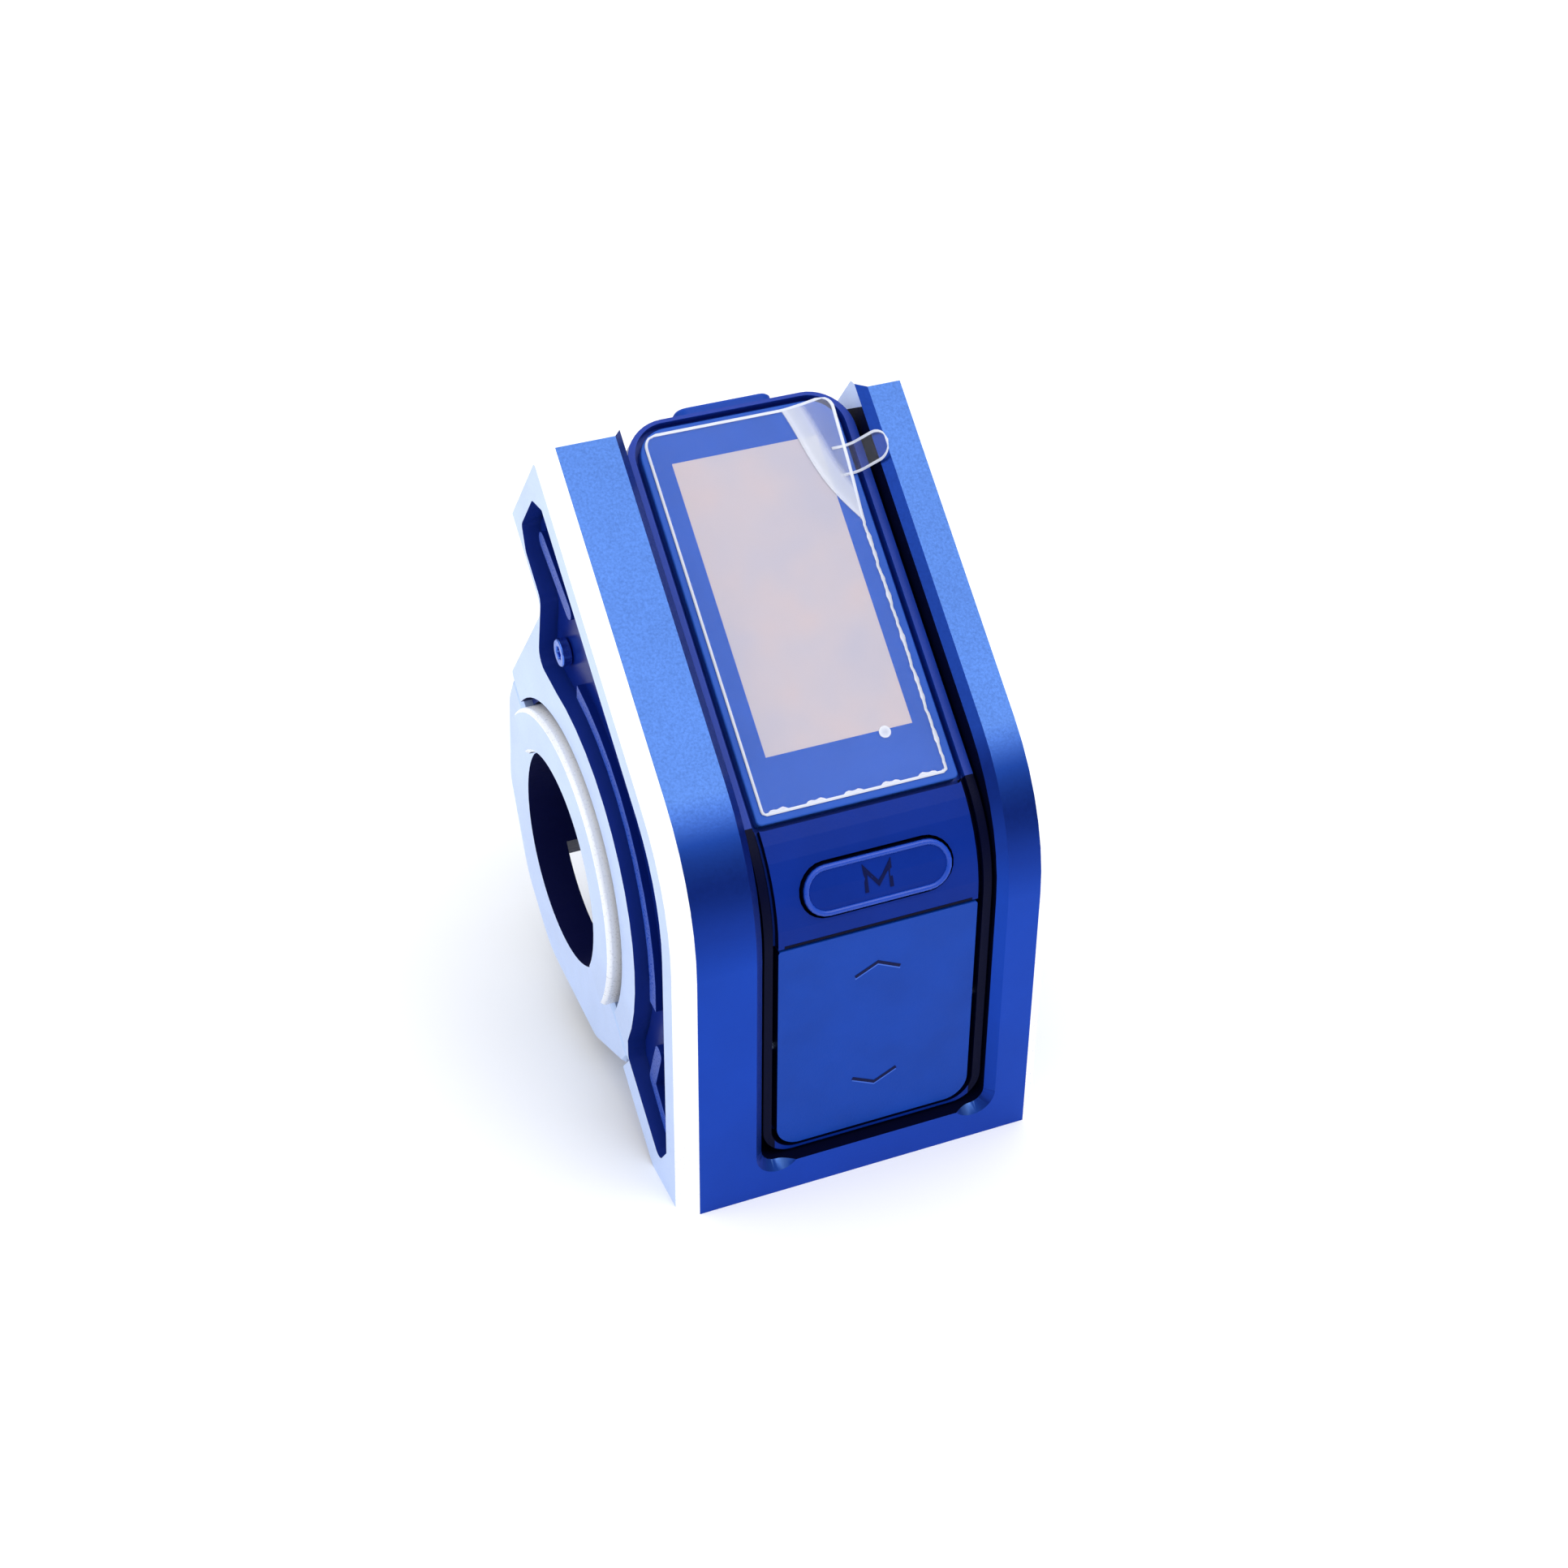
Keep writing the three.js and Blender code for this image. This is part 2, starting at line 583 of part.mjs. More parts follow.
function moduleCover() {
  const tools = CASE_SCREWS.flatMap((spot) => [
    cylinder(0.85, spot(COVER_START - 1), spot(MODULE_DEPTH + 1), 12),
    cylinder(1.6, spot(MODULE_DEPTH - 1), spot(MODULE_DEPTH + 1), 16),
  ]);
  moduleScrewCentres().forEach(([x, z]) => {
    tools.push(cylinder(0.95, [x, MODULE_Y + 7, z], [x, MODULE_Y + MODULE_DEPTH + 1, z], 12));
  });
  return cut(layer(COVER_START, MODULE_DEPTH), ...tools);
}

function gasket() {
  const depths = [CASE_DEPTH + 0.05, COVER_START - 0.05];
  return cut(layer(...depths, 0.2), layer(depths[0] - 1, depths[1] + 1, WALL - 0.2));
}

function film() {
  const sheet = lensOutline(0.6);
  const tab = rounded([[9, 23.3], [12.7, 23.3, 1.2], [12.7, 26.5, 1.2], [9, 26.5]]);
  const depths = [-FILM_LIFT - FILM_THICK, -FILM_LIFT];
  return union(onUpper(sheet, ...depths), onUpper(tab, ...depths));
}

function modeKey() {
  const bar = extrude(stadium(KEY_LENGTH, KEY_HEIGHT), KEY, -FLANGE_DEPTH[1], 2);
  const foot = extrude(stadium(KEY_LENGTH + 2 * FLANGE, KEY_HEIGHT + 2 * FLANGE), KEY, -6, 2);
  return union(bar.intersect(layer(-KEY_PROUD, FLANGE_DEPTH[1])), foot.intersect(layer(...FLANGE_DEPTH)));
}

function rockerPin(extra = 0, play = 0) {
  const reach = MODULE_HALF - 0.5 + play;
  const ends = [-reach, reach].map((x) => lowerSpot(MODULE_X + x, ROCKER_CENTRE, PIN_DEPTH));
  return cylinder(PIN_RADIUS + extra, ...ends, 14);
}

function rocker() {
  const [low, high] = [MODULE_X - ROCKER_HALF, MODULE_X + ROCKER_HALF];
  const face = rounded([
    [low, -ROCKER_END, 2.4],
    [high, -ROCKER_END, 2.4],
    [high, -ROCKER_START, 0.3],
    [low, -ROCKER_START, 0.3],
  ]);
  const plate = onLower(face, 0, ROCKER_THICK);
  const hub = rectangle(low, high, -ROCKER_CENTRE - 1.4, 1.4 - ROCKER_CENTRE);
  const pads = pressSpots().map((s) => {
    return cylinder(1.2, lowerSpot(MODULE_X, s, ROCKER_THICK - 0.2), lowerSpot(MODULE_X, s, 2.9), 16);
  });
  return cut(union(plate, onLower(hub, 1, 2.25), ...pads), rockerPin(0.1, 1));
}

function powerOutline(margin) {
  const [front, back] = POWER_DEPTH;
  return rectangle(POWER_X - POWER_HALF - margin, POWER_X + POWER_HALF + margin,
    MODULE_Y + front - margin, MODULE_Y + back + margin, 1.2);
}

function powerKey() {
  const [low, high] = POWER_Z;
  const flange = rectangle(POWER_X - POWER_HALF - 0.9, POWER_X + POWER_HALF + 0.9,
    MODULE_Y + FACE_WALL + 0.25, MODULE_Y + POWER_DEPTH[1] + 0.3, 0.4);
  const stem = extrude(powerOutline(0), PLAN, low + 0.2, high, 0.25);
  return union(stem.subtract(frontStep()), extrude(flange, PLAN, low, low + 0.4));
}

// The stem of the power key is stepped back where it passes behind the front wall.
function frontStep() {
  const front = rectangle(-10, 10, MODULE_Y, MODULE_Y + FACE_WALL + 0.25);
  return extrude(front, PLAN, POWER_Z[0] - 1, MODULE_TOP - WALL + 0.1);
}

function keySwitch(place, x, b, offset) {
  const half = SWITCH_HALF;
  const [top, bottom] = SWITCH_DEPTH.map((depth) => depth + offset);
  const body = extrude(rectangle(x - half, x + half, b - half, b + half, 0.3), place, -bottom, -top);
  const nub = extrude(arc([x, b], 0.9, 0, 360 * DEG, 30 * DEG).slice(0, -1), place, -top - 0.1, 0.15 - top);
  return union(body, nub);
}

function powerSwitch() {
  const [front, back] = [MODULE_Y + 3.4, MODULE_Y + 5.2];
  const body = extrude(rectangle(POWER_X - 2.4, POWER_X + 2.4, front, back), PLAN, 26.2, 29.0);
  const nub = rectangle(POWER_X - 0.9, POWER_X + 0.9, front + 0.4, back - 0.4);
  return union(body, extrude(nub, PLAN, 28.9, 29.3));
}

function keyCircuit() {
  const [near, far] = CIRCUIT_DEPTH.map(surfaceAt);
  return bentSlab(MODULE_X - CIRCUIT_HALF, MODULE_X + CIRCUIT_HALF, near, far, -5.5, 32.4);
}

// ---------------------------------------------------------------- assembly
addPart('housing', housing(), ANODISED);
addPart('clamp_cap', clampCap(), BRIGHT);
addPart('clamp_saddle', clampSaddle(), BRIGHT);
clampScrewCentres().forEach(([x, z], i) => {
  const top = [x, CLAMP_SEAT_Y + 2.1, z];
  addPart(`clamp_screw_${i + 1}`, screw(top, [0, -1, 0], [1.9, 2], [1, CLAMP_SEAT_Y - CLAMP_TIP_Y]), STEEL);
});
addPart('side_liner_left', sideLiner(-1), DARK);
addPart('side_liner_right', sideLiner(1), DARK);
addPart('liner_screw_left', linerScrew(-1), STEEL);
addPart('liner_screw_right', linerScrew(1), STEEL);

addPart('module_case', moduleCase(), PLASTIC);
addPart('module_cover', moduleCover(), DARK);
addPart('case_gasket', gasket(), RUBBER);
addPart('display_window', onUpper(lensOutline(0), 0, LENS_THICK), GLOSSY);
addPart('protective_film', film(), FILM);
const panelDepth = LENS_THICK + 0.15;
addPart('oled_panel', onUpper(lensOutline(PANEL_MARGIN), panelDepth, panelDepth + PANEL_THICK), PICTURE);
const board = rectangle(MODULE_X - 9.6, MODULE_X + 9.6, ...BOARD_Z, 0.6);
addPart('main_circuit_board', onUpper(board, ...BOARD_DEPTH), BOARD);
addPart('key_circuit', keyCircuit(), BOARD);
const membrane = rectangle(MODULE_X - CIRCUIT_HALF, MODULE_X + CIRCUIT_HALF, -32.6, -9.3, 1);
addPart('key_membrane', onLower(membrane, 3.45, 3.7), RUBBER);

addPart('m_button', modeKey(), PLASTIC);
addPart('rocker_key', rocker(), PLASTIC);
addPart('rocker_pin', rockerPin(), STEEL);
addPart('power_button', powerKey(), PLASTIC);
addPart('m_switch', keySwitch(KEY, 0, 0, 0), DARK);
addPart('up_switch', keySwitch(LOWER, MODULE_X, -pressSpots()[0], MODULE_LOWER), DARK);
addPart('down_switch', keySwitch(LOWER, MODULE_X, -pressSpots()[1], MODULE_LOWER), DARK);
addPart('power_switch', powerSwitch(), DARK);

CASE_SCREWS.forEach((spot, i) => {
  const top = spot(MODULE_DEPTH - 0.1);
  const inward = spot(MODULE_DEPTH - 1.1).map((value, axis) => value - top[axis]);
  addPart(`case_screw_${i + 1}`, screw(top, inward, [1.3, 0.8], [0.6, 3.2]), STEEL);
});
moduleScrewCentres().forEach(([x, z], i) => {
  addPart(`module_screw_${i + 1}`, screw([x, BACK_Y - 0.1, z], [0, -1, 0], [1.7, 1.1], [0.7, 2.5]), STEEL);
});

export default group;
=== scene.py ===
"""Looks of the handlebar display and key unit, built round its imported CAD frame."""

import math

import bmesh
import bpy
from mathutils import Matrix, Vector

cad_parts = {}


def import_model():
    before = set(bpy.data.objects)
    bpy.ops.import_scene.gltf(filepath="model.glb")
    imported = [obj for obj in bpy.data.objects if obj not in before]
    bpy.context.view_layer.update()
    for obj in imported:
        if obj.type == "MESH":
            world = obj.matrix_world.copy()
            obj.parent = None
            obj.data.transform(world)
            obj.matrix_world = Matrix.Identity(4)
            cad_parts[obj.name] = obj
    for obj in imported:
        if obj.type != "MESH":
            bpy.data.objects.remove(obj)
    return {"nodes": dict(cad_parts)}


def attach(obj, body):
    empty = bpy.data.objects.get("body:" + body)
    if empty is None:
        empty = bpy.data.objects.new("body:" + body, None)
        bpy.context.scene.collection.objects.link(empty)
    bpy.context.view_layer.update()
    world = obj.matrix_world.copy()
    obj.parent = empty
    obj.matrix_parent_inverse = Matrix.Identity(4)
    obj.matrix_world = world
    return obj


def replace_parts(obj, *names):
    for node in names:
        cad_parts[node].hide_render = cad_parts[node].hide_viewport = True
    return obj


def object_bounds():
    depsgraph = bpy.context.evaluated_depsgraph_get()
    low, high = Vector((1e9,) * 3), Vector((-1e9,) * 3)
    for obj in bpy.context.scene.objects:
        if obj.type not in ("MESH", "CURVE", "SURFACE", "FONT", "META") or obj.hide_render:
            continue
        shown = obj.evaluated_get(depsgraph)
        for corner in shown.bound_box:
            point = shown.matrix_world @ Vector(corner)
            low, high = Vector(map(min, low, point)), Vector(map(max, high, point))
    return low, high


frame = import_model()
CAD_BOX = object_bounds()

# ------------------------------------------------------------------ shape of the unit
# Screen coordinates, in millimetres: x along the bar, y into the screen, z up the screen.
# The row frame is tipped forward from them by the bend angle.
MM = 0.001
BEND = math.radians(51.2)
SIN, COS = math.sin(BEND), math.cos(BEND)
FRONT_Y, APEX_Z = -33.4, -13.8  # the upper rail plane, and the apex of the bend
HALF_WIDTH = 19.1
BAR_RADIUS = 11.1
MODULE_X = 1.25
MODULE_UPPER, MODULE_LOWER, MODULE_RADIUS = 2.8, 1.2, 13.0
MODULE_Y = FRONT_Y + MODULE_UPPER
LENS_HALF, LENS_TOP, LENS_BOTTOM = 10.1, 31.1, -8.0
SCREEN_Z, SCREEN_HALF_WIDTH, SCREEN_HALF_HEIGHT = 12.75, 7.35, 14.7
FILM_CLEAR = 0.015  # opacity of the film where it lies flat
PEEL_REACH = 4.6  # how far past the fold the look of the lifted corner goes on
FILM_GAP = 0.07  # from the window to the film
KEY_ANGLE = math.radians(30.4)
KEY_LENGTH, KEY_HEIGHT = 14.9, 4.9
KEY_RISE = 0.3  # height of the mode key over the bend of its panel
CHEVRON_SPOTS = ((14.2, 1), (28.0, -1))  # distance from the apex, and which way the chevron points
BELT_HALF = 10.3  # half width of the case's face below the window
# The middle of the curve of the module's face.
BEND_Y = MODULE_Y + MODULE_RADIUS
BEND_Z = APEX_Z + MODULE_LOWER * SIN - (MODULE_UPPER - MODULE_LOWER * COS) * COS / SIN
BEND_Z += MODULE_RADIUS * math.tan(BEND / 2)


def place(x, y, z):
    """A point given in screen coordinates, in the row frame."""
    return Vector((x, COS * y + SIN * z, -SIN * y + COS * z)) * MM


ALONG_BAR = Vector((1, 0, 0))
UP_SCREEN = place(0, 0, 1).normalized()


def to_screen(point):
    """A point of the row frame, in screen coordinates."""
    x, y, z = point / MM
    return Vector((x, COS * y - SIN * z, SIN * y + COS * z))


def turn_to_screen(normal):
    """A direction of the row frame, in screen coordinates."""
    x, y, z = normal
    return Vector((x, COS * y - SIN * z, SIN * y + COS * z))


def lower_point(x, s, depth):
    """A point over the lower rail plane: s from the apex to the tail, sunk by a depth."""
    return place(x, FRONT_Y + SIN * s + COS * depth, APEX_Z - COS * s + SIN * depth)


# ------------------------------------------------------------------ materials
def srgb(red, green, blue):
    """A colour of 0 to 255 per channel, as linear values."""

    def linear(value):
        value /= 255
        return value / 12.92 if value <= 0.04045 else ((value + 0.055) / 1.055) ** 2.4

    return (linear(red), linear(green), linear(blue), 1)


class Nodes:
    """A small builder for one material's node tree."""

    def __init__(self, name):
        self.material = bpy.data.materials.new(name)
        self.material.use_nodes = True
        self.tree = self.material.node_tree
        self.shader = self.tree.nodes["Principled BSDF"]
        self.output = self.tree.nodes["Material Output"]
        self.coords = self.add("ShaderNodeTexCoord").outputs["Object"]

    def add(self, kind, **settings):
        node = self.tree.nodes.new(kind)
        for key, value in settings.items():
            setattr(node, key, value)
        return node

    def link(self, source, target):
        self.tree.links.new(source, target)

    def set(self, **values):
        for key, value in values.items():
            self.shader.inputs[key.replace("_", " ")].default_value = value

    def upward(self):
        """The height part of the surface normal."""
        split = self.add("ShaderNodeSeparateXYZ")
        normal = self.add("ShaderNodeTexCoord").outputs["Normal"]
        self.link(normal, split.inputs["Vector"])
        return split.outputs["Z"]

    def stretched(self, scale):
        mapping = self.add("ShaderNodeMapping")
        mapping.inputs["Scale"].default_value = scale
        self.link(self.coords, mapping.inputs["Vector"])
        return mapping.outputs["Vector"]

    def noise(self, scale, detail=3.0, roughness=0.55, vector=None):
        node = self.add("ShaderNodeTexNoise")
        node.inputs["Scale"].default_value = scale
        node.inputs["Detail"].default_value = detail
        node.inputs["Roughness"].default_value = roughness
        self.link(vector or self.coords, node.inputs["Vector"])
        return node.outputs["Fac"]

    def ramp(self, value, stops):
        node = self.add("ShaderNodeValToRGB")
        elements = node.color_ramp.elements
        while len(elements) < len(stops):
            elements.new(0.5)
        for element, (position, colour) in zip(elements, stops):
            element.position = position
            element.color = colour
        self.link(value, node.inputs["Fac"])
        return node.outputs["Color"]

    def span(self, value, low, high, start=0.3, end=0.7):
        node = self.add("ShaderNodeMapRange")
        for key, number in zip(("From Min", "From Max", "To Min", "To Max"), (start, end, low, high)):
            node.inputs[key].default_value = number
        self.link(value, node.inputs["Value"])
        return node.outputs["Result"]

    def multiply(self, first, second):
        node = self.add("ShaderNodeMix", data_type="RGBA", blend_type="MULTIPLY")
        node.inputs["Factor"].default_value = 1
        self.link(first, node.inputs[6])
        self.link(second, node.inputs[7])
        return node.outputs[2]

    def largest(self, first, second):
        node = self.add("ShaderNodeMath", operation="MAXIMUM")
        self.link(first, node.inputs[0])
        self.link(second, node.inputs[1])
        return node.outputs["Value"]

    def bump(self, height, distance, strength=1.0, after=None):
        node = self.add("ShaderNodeBump")
        node.inputs["Distance"].default_value = distance
        node.inputs["Strength"].default_value = strength
        self.link(height, node.inputs["Height"])
        if after:
            self.link(after, node.inputs["Normal"])
        self.link(node.outputs["Normal"], self.shader.inputs["Normal"])
        return node.outputs["Normal"]


CLOUDY = [(0.3, (0.88, 0.88, 0.88, 1)), (0.7, (1, 1, 1, 1))]
# Noise scales per metre, and bump depths in metres.
METAL_CLOUD, PLASTIC_CLOUD = 90, 160
BRUSH_SCALE, BRUSH_DEPTH = (180, 5200, 5200), 0.00002
BLAST_SCALE, BLAST_DEPTH = 4200, 0.000012
MOULD_SCALE, MOULD_DEPTH = 5200, 0.00002


def shade(colour, factor):
    return tuple(channel * factor for channel in colour[:3]) + (1,)


def mottled(n, cloud, colour):
    return n.ramp(cloud, [(0.3, shade(colour, 0.93)), (0.7, shade(colour, 1.07))])


def anodised(name, colour, metallic, roughness, lines=1.0, by_tilt=False, blasted=1.0, specular=0.5):
    """Machined metal: fine lines along the bar, blasted grain, and cloudy dye.

    With by_tilt, colour is a list of stops over the height part of the surface normal, so that light and
    shade are painted by how a face tilts.
    """
    n = Nodes(name)
    n.set(Metallic=metallic, Specular_IOR_Level=specular)
    cloud = n.noise(METAL_CLOUD, 4)
    # With by_tilt the colour steps with how far a face tilts up: painted light and shade, under the
    # cloudy mottle.
    if by_tilt:
        tone_and_painted_light = n.multiply(n.ramp(n.upward(), colour), n.ramp(cloud, CLOUDY))
    else:
        tone_and_painted_light = mottled(n, cloud, colour)
    n.link(tone_and_painted_light, n.shader.inputs["Base Color"])
    brushed = n.noise(1.0, 5, 0.6, n.stretched(BRUSH_SCALE))
    grain = n.noise(BLAST_SCALE, 2)
    uneven = n.span(brushed if lines else grain, roughness - 0.06, roughness + 0.08)
    n.link(uneven, n.shader.inputs["Roughness"])
    lined = n.bump(brushed, BRUSH_DEPTH * lines, 0.5) if lines else None
    n.bump(grain, BLAST_DEPTH * blasted, 0.5, lined)
    return n.material


def moulded(name, colour, roughness, grain=1.0, coat=0.0, specular=0.5):
    """Moulded plastic with a fine spark-eroded texture."""
    n = Nodes(name)
    n.set(Coat_Weight=coat, Coat_Roughness=0.05, Specular_IOR_Level=specular)
    cloud = n.noise(PLASTIC_CLOUD, 3)
    n.link(mottled(n, cloud, colour), n.shader.inputs["Base Color"])
    texture = n.noise(MOULD_SCALE, 3, 0.6)
    n.link(n.span(texture, roughness - 0.06, roughness + 0.06), n.shader.inputs["Roughness"])
    n.bump(texture, MOULD_DEPTH * grain, 0.6)
    return n.material


def picture_material():
    """The unlit panel of the display, faintly mottled by the film above it."""
    n = Nodes("display_picture")
    n.set(Roughness=0.3, Specular_IOR_Level=0.15)
    cloud = n.noise(120, 2, 0.5)
    stops = [(0.32, srgb(174, 170, 186)), (0.5, srgb(181, 173, 184)), (0.68, srgb(188, 174, 180))]
    n.link(n.ramp(cloud, stops), n.shader.inputs["Base Color"])
    n.bump(n.noise(300, 2), 0.00002, 0.3)
    return n.material


# Opacity of the film over each of the lengths that its mesh carries.
FILM_FIELDS = (
    ("rim", ((0.02, 0.85), (0.24, 0.68), (0.3, FILM_CLEAR))),
    ("air", ((0.0, FILM_CLEAR), (0.06, 0.6), (0.5, 0.4))),
    # Past the fold the film is white in a band, a painted highlight along the fold, and clearer farther
    # on.
    ("peel", ((0.0, FILM_CLEAR), (0.02, 0.42), (0.08, 0.52), (0.34, 0.44),
              (0.46, 0.13), (0.9, 0.08), (1.0, 0.03))),
)


def film_material():
    """Clear plastic film: white along its cut rim, where air has got under it, and where it lifts,
    whitest in a band along the fold as a painted highlight.

    The mesh carries three lengths in millimetres: "rim" inward from the edge, "air" past the
    start of the trapped air, and "peel" past the fold of the lifted corner, as a part of PEEL_REACH.
    """
    n = Nodes("protective_film")
    n.set(Base_Color=srgb(226, 231, 244), Roughness=0.14, Coat_Weight=0.2, Coat_Roughness=0.05)
    fields = {}
    for name, stops in FILM_FIELDS:
        value = n.add("ShaderNodeAttribute", attribute_name=name).outputs["Fac"]
        grey = [(position, (level, level, level, 1)) for position, level in stops]
        fields[name] = n.ramp(value, grey)
    highest = n.largest(n.largest(fields["rim"], fields["air"]), fields["peel"])
    n.link(highest, n.shader.inputs["Alpha"])
    n.bump(n.noise(420, 2), 0.00006, 0.5)
    n.material.blend_method = "BLEND"
    return n.material


# The rails' blue with light and shade painted by tilt: palest on the upper rails, which face up, as a
# painted highlight, and darkest across the bend, as painted shade.
RAIL_BLUE_AND_PAINTED_LIGHT = [
    (0.0, srgb(14, 64, 172)), (0.2, srgb(12, 52, 148)), (0.45, srgb(9, 44, 134)),
    (0.62, srgb(20, 62, 150)), (0.77, srgb(58, 92, 154)),
]
MATERIALS = {
    "rail": anodised("anodised_rail", RAIL_BLUE_AND_PAINTED_LIGHT, 0.85, 0.34, lines=0, by_tilt=True),
    # Pale blue: painted light on the lit cheeks and the top end.
    "cheek": anodised("anodised_cheek", srgb(191, 210, 247), 0.25, 0.38),
    # Near white: painted highlight on the bevels.
    "bevel": anodised("anodised_bevel", srgb(250, 252, 255), 0.1, 0.3, lines=0, blasted=0.3),
    # Near black: painted shade in the channel.
    "slot": anodised("anodised_slot", srgb(2, 5, 34), 0.2, 0.6, lines=0, specular=0.05),
    "pocket": anodised("anodised_pocket", srgb(24, 52, 146), 0.3, 0.35, lines=0, specular=0.25),
    # Dark navy: painted shade inside the bore, the seat and the cap's opening.
    "bore": anodised("anodised_bore", srgb(5, 12, 66), 0.2, 0.5, specular=0.15),
    # Pale blue and near white: painted light on the clamp cap and the saddle.
    "clamp": anodised("anodised_clamp", srgb(188, 211, 250), 0.25, 0.36),
    "saddle": anodised("anodised_saddle", srgb(246, 249, 255), 0.1, 0.3, lines=0, blasted=0.3),
    # The liner's plastic in two tones: darker on the plate as painted shade, and bluer on the rib tops
    # as painted light.
    "liner": moulded("liner_gloss", srgb(10, 32, 112), 0.2, grain=0.3, specular=0.03),
    "lit_liner_rib": moulded("lit_liner_rib", srgb(24, 66, 166), 0.3, grain=0.3, specular=0.12),
    "case": moulded("case_plastic", srgb(16, 52, 150), 0.34, specular=0.15),
    # Near black: painted shade down the keys' sides and on the low and deep parts of the case; also the
    # dark seam over the rocker.
    "case_low": moulded("case_low", srgb(2, 5, 36), 0.4, specular=0.05),
    # The key plastic painted darker, as shade, where the module bends: the mode key and the case's face
    # just below the window.
    "panel_key": moulded("panel_plastic", srgb(3, 40, 132), 0.42, specular=0.08),
    "cover": moulded("cover_plastic", srgb(24, 40, 110), 0.45),
    "key": moulded("key_plastic", srgb(10, 63, 164), 0.42, specular=0.13),
    # A lighter blue than the panel it rings: painted highlight along the raised bead.
    "bead": moulded("mode_bead", srgb(20, 66, 174), 0.3, grain=0.5, specular=0.35),
    # Dark marks: the mode letter, and the chevrons' strokes, painted shade in their engraved grooves.
    "mark": moulded("key_mark", srgb(3, 14, 66), 0.5, specular=0.1),
    # Light blue: painted highlight along the lower edge of each chevron.
    "edge": moulded("key_edge", srgb(58, 102, 204), 0.4, specular=0.2),
    "window": moulded("window_border", srgb(40, 84, 178), 0.12, grain=0.05, specular=0.07),
    "picture": picture_material(),
    "film": film_material(),
    "steel": anodised("screw_steel", srgb(150, 168, 205), 0.9, 0.28, lines=0.5),
    "blue_screw": anodised("screw_plated", srgb(70, 110, 205), 0.9, 0.2, lines=0.5),
    "rubber": moulded("seal_rubber", srgb(18, 20, 30), 0.85, grain=2.0),
    "board": moulded("circuit_board", srgb(24, 92, 70), 0.45),
    "switch": moulded("switch_plastic", srgb(20, 22, 34), 0.5),
    "panel": moulded("display_panel", srgb(205, 200, 214), 0.25, grain=0.2, coat=0.5),
}


# ------------------------------------------------------------------ pieces from the frame
BODY_OF = {"m_button": "mode_key", "rocker_key": "rocker", "power_button": "power_key"}
FLAT = math.radians(0.6)  # faces that meet at less than this are joined
SHARP = math.radians(28)  # edges sharper than this are rounded


def new_piece(name, mesh, body, *materials):
    for material in materials:
        mesh.materials.append(MATERIALS[material])
    piece = bpy.data.objects.new(name, mesh)
    bpy.context.scene.collection.objects.link(piece)
    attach(piece, body)
    return piece


def soften(piece, width, segments=2):
    """Rounds every sharp edge by a width in millimetres and keeps flat faces flat."""
    bevel = piece.modifiers.new("edges", "BEVEL")
    bevel.width = width * MM
    bevel.segments = segments
    bevel.limit_method = "ANGLE"
    bevel.angle_limit = SHARP
    bevel.use_clamp_overlap = True
    for polygon in piece.data.polygons:
        polygon.use_smooth = True
    piece.data.set_sharp_from_angle(angle=SHARP)
    normals = piece.modifiers.new("normals", "WEIGHTED_NORMAL")
    normals.keep_sharp = True
    normals.weight = 70


def refined(node, slot, width, *materials, rule=None, cuts=()):
    """A finished copy of a CAD node: its faces joined up, painted by a rule, edges rounded.

    Each cut is a plane (point, normal) that parts faces so that they can be painted apart.
    """
    bm = bmesh.new()
    bm.from_mesh(frame["nodes"][node].data)
    bmesh.ops.remove_doubles(bm, verts=bm.verts, dist=1e-7)
    bmesh.ops.dissolve_limit(bm, angle_limit=FLAT, verts=bm.verts, edges=bm.edges)
    for point, normal in cuts:
        geometry = bm.verts[:] + bm.edges[:] + bm.faces[:]
        bmesh.ops.bisect_plane(bm, geom=geometry, plane_co=point, plane_no=normal)
    bm.normal_update()
    if rule:
        for face in bm.faces:
            face.material_index = rule(to_screen(face.calc_center_median()), turn_to_screen(face.normal))
    mesh = bpy.data.meshes.new(node + "_finished")
    bm.to_mesh(mesh)
    bm.free()
    piece = new_piece(node + "_finished", mesh, BODY_OF.get(node, "unit"), *materials)
    soften(piece, width)
    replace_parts(piece, node)
    return piece


# ------------------------------------------------------------------ housing and clamp
# A sloped plane across the channel: the channel's walls above it are painted pale as light, and below it
# dark as shade.
WALL_TOP, WALL_SLOPE = Vector((0, -30.6, 29.4)), Vector((0, -0.357, 0.934))
RIB_TOP = 17.9  # faces of the liner farther out than this are the tops of its ribs
SLOT_REACH = 12.2  # from the channel's middle to between its wall and its chamfer's outer edge
SEAT_REACH = 16.7  # faces nearer the bar than this may be the saddle's seat
BEVEL_SIDE = 15  # bevels lie farther out than this
TOP_FACES_Z = 30  # the faces and bevel of the top end lie above this
POCKET_DEEP, POCKET_SHALLOW = 2.65, 0.5  # the pocket's walls lie this far inward from the cheek
POCKET_START = 3.9  # least depth of the pocket behind the rails
POCKET_REAR_Y = -1.4  # pocket walls lie in front of this
CAP_OPENING = (3.3, 2.9, -14.2, 4.2)  # just round the cap's opening: wall, front y, low z, high z
RAIL, CHEEK, BEVEL, SLOT, POCKET, BORE = range(6)


def in_slot(centre):
    """True well inside the channel that holds the module."""
    return abs(centre.x - MODULE_X) < SLOT_REACH and depth_of(centre) > 0.9 and centre.y < -2


def depth_of(centre):
    """How far a point lies behind the rails' bent front surface."""
    lower = COS * (centre.y - FRONT_Y) + SIN * (centre.z - APEX_Z)
    return min(centre.y - FRONT_Y, lower)


def facing_front(normal):
    """How squarely a normal faces out of the upper or the lower rail plane."""
    return max(-normal.y, -COS * normal.y - SIN * normal.z)


